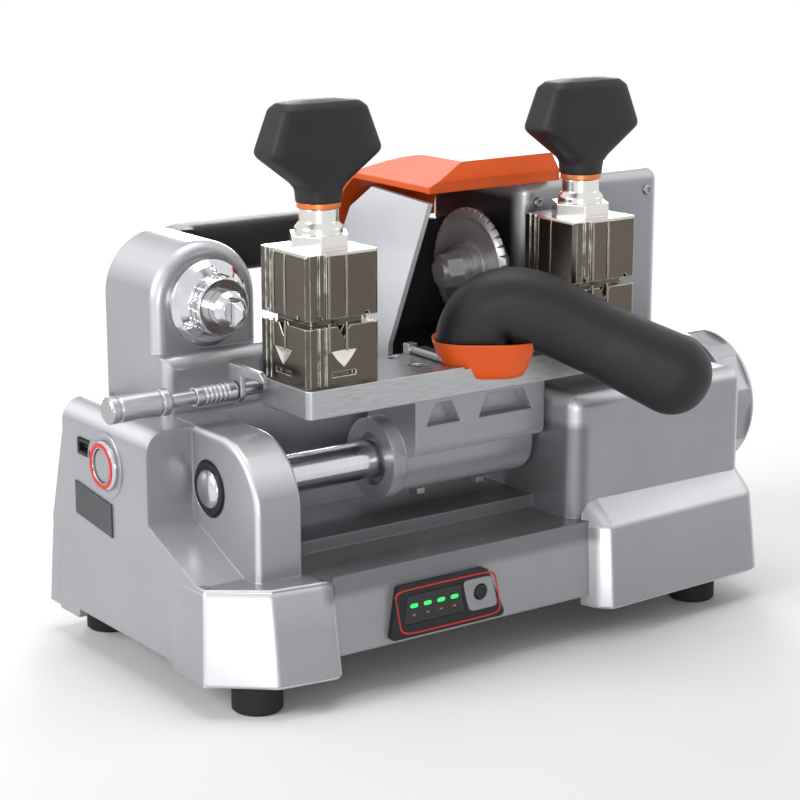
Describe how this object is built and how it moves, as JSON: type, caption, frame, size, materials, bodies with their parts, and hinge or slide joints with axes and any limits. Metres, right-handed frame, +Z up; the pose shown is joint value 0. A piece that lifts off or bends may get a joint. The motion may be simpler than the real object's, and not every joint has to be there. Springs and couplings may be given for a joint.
{
  "type": "key duplicating machine",
  "caption": "Bench key duplicator: a tilting carriage with two clamp vises slides on a shaft past a fixed tracer and a guarded motor-driven cutter wheel, with a lever and a carry handle.",
  "frame": {"origin": "centre of the outer box on the plane the feet stand on", "axes": "+Z up, +X along the carriage shaft towards the cutter side, -Y towards the person at the lever"},
  "size_m": [0.333, 0.1935, 0.2514],
  "materials": {
    "cast_paint": "silver grey paint",
    "sheet_steel": "ground",
    "screw_steel": "plated",
    "foot_rubber": "matt",
    "black_plastic": "satin",
    "orange_plastic": "satin",
    "ring_copper": "polished",
    "vise_nickel": "dark nickel",
    "bright_steel": "ground",
    "chrome_trim": "polished",
    "cutter_steel": "ground",
    "pulley_alloy": "turned",
    "motor_can": "plated",
    "grey_plastic": "satin",
    "window_black": "gloss",
    "red_plastic": "satin",
    "pale_cheek": "satin",
    "cell_wrap": "film",
    "board_green": "lacquer"
  },
  "bodies": {
    "base": {"base_casting": "cast_paint", "battery_door": "grey_plastic", "battery_pack": "cell_wrap", "bottom_plate": "sheet_steel", "carriage_shaft": "bright_steel", "carry_handle": "black_plastic", "case_screws": "screw_steel", "charge_socket": "black_plastic", "chip_hood": "black_plastic", "control_board": "board_green", "display_bezel": "grey_plastic", "display_window": "window_black", "drive_belt": "foot_rubber", "hood_cheek": "pale_cheek", "label_plate": "grey_plastic", "motor_body": "motor_can", "power_bezel": "chrome_trim", "rubber_feet": "foot_rubber", "shaft_cap": "chrome_trim", "shaft_drum": "cast_paint", "shaft_nut": "screw_steel", "spindle_bearings": "bright_steel", "spindle_housing": "cast_paint", "tracer_flange": "chrome_trim", "tracer_post": "cast_paint"},
    "spindle": {"spindle_shaft": "bright_steel", "spindle_pulley": "pulley_alloy", "cutter_disc": "cutter_steel", "cutter_nut": "cutter_steel"},
    "motor": {"motor_rotor": "bright_steel", "motor_pulley": "pulley_alloy"},
    "guard_cover": {"guard": "orange_plastic"},
    "lock": {"lock_button": "black_plastic"},
    "power": {"power_button": "red_plastic"},
    "panel": {"panel_button": "black_plastic"},
    "tracer_dial": {"tracer_ring": "chrome_trim"},
    "tracer": {"tracer_holder": "bright_steel", "tracer_stylus": "bright_steel"},
    "slider": {"bushings": "bright_steel"},
    "carriage": {"carriage_casting": "cast_paint", "carriage_plate": "sheet_steel", "carriage_screws": "screw_steel", "lever_collar": "orange_plastic", "lever_grip": "black_plastic", "lever_bar": "bright_steel", "gauge_brackets": "bright_steel"},
    "gauge": {"gauge_rod": "bright_steel", "gauge_fingers": "bright_steel", "gauge_grips": "bright_steel"},
    "left_vise": {"left_lower_jaw": "vise_nickel", "left_clamp_stud": "bright_steel"},
    "left_clamp": {"left_upper_jaw": "vise_nickel"},
    "left_knob": {"left_wing_knob": "black_plastic", "left_knob_ring": "ring_copper"},
    "right_vise": {"right_lower_jaw": "vise_nickel", "right_clamp_stud": "bright_steel"},
    "right_clamp": {"right_upper_jaw": "vise_nickel"},
    "right_knob": {"right_wing_knob": "black_plastic", "right_knob_ring": "ring_copper"}
  },
  "joints": [
    {"name": "carriage_slide", "type": "slide", "parent": "base", "child": "slider", "axis": [1, 0, 0], "range_m": [-0.0595, 0.001]},
    {"name": "carriage_tilt", "type": "hinge", "parent": "slider", "child": "carriage", "pos_m": [0, -0.0108, 0.087], "axis": [1, 0, 0], "range_deg": [-3, 9], "stiffness_Nm_per_rad": 12},
    {"name": "left_vise_turn", "type": "hinge", "parent": "carriage", "child": "left_vise", "pos_m": [-0.0745, -0.0219, 0.1314], "axis": [0, 0, 1], "range_deg": [0, 90]},
    {"name": "left_jaw_lift", "type": "slide", "parent": "left_vise", "child": "left_clamp", "axis": [0, 0, 1], "range_m": [0, 0.003]},
    {"name": "left_knob_turn", "type": "hinge", "parent": "left_clamp", "child": "left_knob", "pos_m": [-0.0745, -0.0219, 0.208], "axis": [0, 0, 1], "range_deg": [0, 720]},
    {"name": "right_vise_turn", "type": "hinge", "parent": "carriage", "child": "right_vise", "pos_m": [0.07, -0.0219, 0.1314], "axis": [0, 0, 1], "range_deg": [0, 90]},
    {"name": "right_jaw_lift", "type": "slide", "parent": "right_vise", "child": "right_clamp", "axis": [0, 0, 1], "range_m": [0, 0.003]},
    {"name": "right_knob_turn", "type": "hinge", "parent": "right_clamp", "child": "right_knob", "pos_m": [0.07, -0.0219, 0.208], "axis": [0, 0, 1], "range_deg": [0, 720]},
    {"name": "gauge_swing", "type": "hinge", "parent": "carriage", "child": "gauge", "pos_m": [0, 0.0008, 0.125], "axis": [1, 0, 0], "range_deg": [-85, 0]},
    {"name": "tracer_adjust", "type": "hinge", "parent": "base", "child": "tracer_dial", "pos_m": [-0.0975, 0, 0.158], "axis": [0, 1, 0], "range_deg": [-180, 180]},
    {"name": "tracer_reach", "type": "slide", "parent": "base", "child": "tracer", "axis": [0, 1, 0], "range_m": [-0.0005, 0.0005]},
    {"name": "spindle_spin", "type": "hinge", "parent": "base", "child": "spindle", "pos_m": [0, 0.0309, 0.158], "axis": [1, 0, 0], "continuous": true},
    {"name": "motor_spin", "type": "hinge", "parent": "base", "child": "motor", "pos_m": [0, 0.0389, 0.087], "axis": [1, 0, 0], "continuous": true},
    {"name": "guard_lift", "type": "hinge", "parent": "base", "child": "guard_cover", "pos_m": [0, 0.0811, 0.172], "axis": [1, 0, 0], "range_deg": [-70, 0]},
    {"name": "lock_press", "type": "slide", "parent": "base", "child": "lock", "axis": [0, 1, 0], "range_m": [0, 0.002], "stiffness_N_per_m": 300},
    {"name": "power_press", "type": "slide", "parent": "base", "child": "power", "axis": [1, 0, 0], "range_m": [0, 0.0015], "stiffness_N_per_m": 300},
    {"name": "panel_press", "type": "slide", "parent": "base", "child": "panel", "axis": [0, 1, 0], "range_m": [0, 0.001], "stiffness_N_per_m": 300}
  ],
  "couplings": [
    {"joint": "left_knob_turn", "follows": "left_jaw_lift", "rad_per_m": 4188.8},
    {"joint": "right_knob_turn", "follows": "right_jaw_lift", "rad_per_m": 4188.8},
    {"joint": "tracer_adjust", "follows": "tracer_reach", "rad_per_m": 6283.2},
    {"joint": "motor_spin", "follows": "spindle_spin", "ratio": 1.35}
  ]
}
